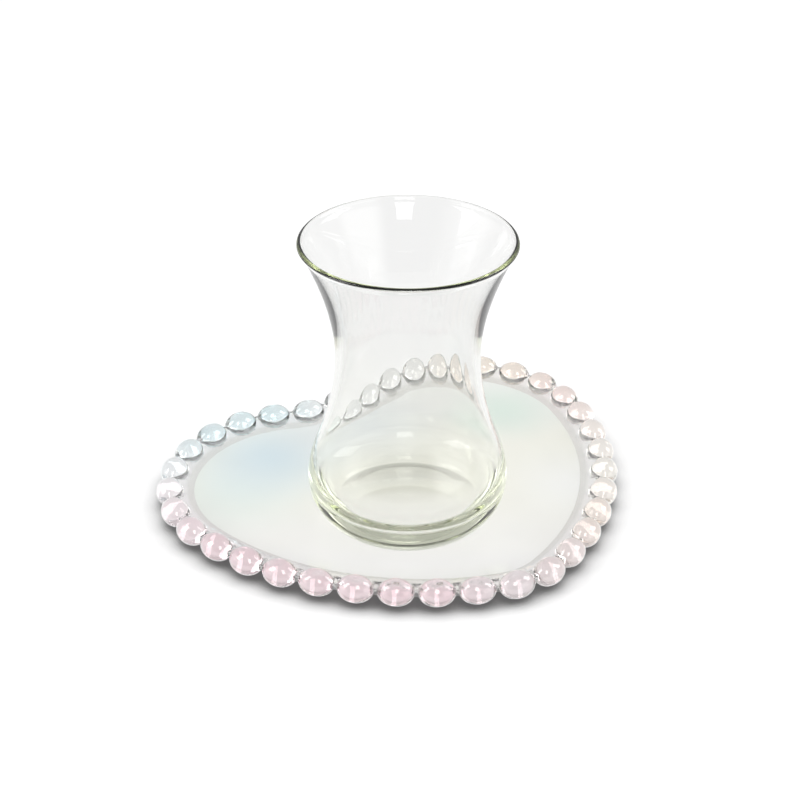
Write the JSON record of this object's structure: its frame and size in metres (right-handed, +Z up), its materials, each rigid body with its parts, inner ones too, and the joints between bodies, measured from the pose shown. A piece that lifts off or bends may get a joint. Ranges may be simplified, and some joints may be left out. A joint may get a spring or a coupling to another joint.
{
  "type": "tea glass on heart-shaped saucer",
  "caption": "Empty waisted tea glass standing on a heart-shaped pressed-glass saucer edged with round glass beads.",
  "frame": {"origin": "middle of the saucer's box, on the surface that it stands on", "axes": "+Z up; the saucer's heart is symmetric about Y, with its tip to -Y and its notch to +Y; the glass stands a little off the middle, to -X and -Y"},
  "size_m": [0.1384, 0.1197, 0.087],
  "materials": {
    "clear_glass": "clear blown glass, faintly green where it is thick",
    "tinted_glass": "pressed glass with a thin pearly tint, milky on the floor, pink, peach and blue at the beads"
  },
  "bodies": {
    "root": {"tea_glass": "clear_glass", "saucer": "tinted_glass"}
  },
  "joints": []
}
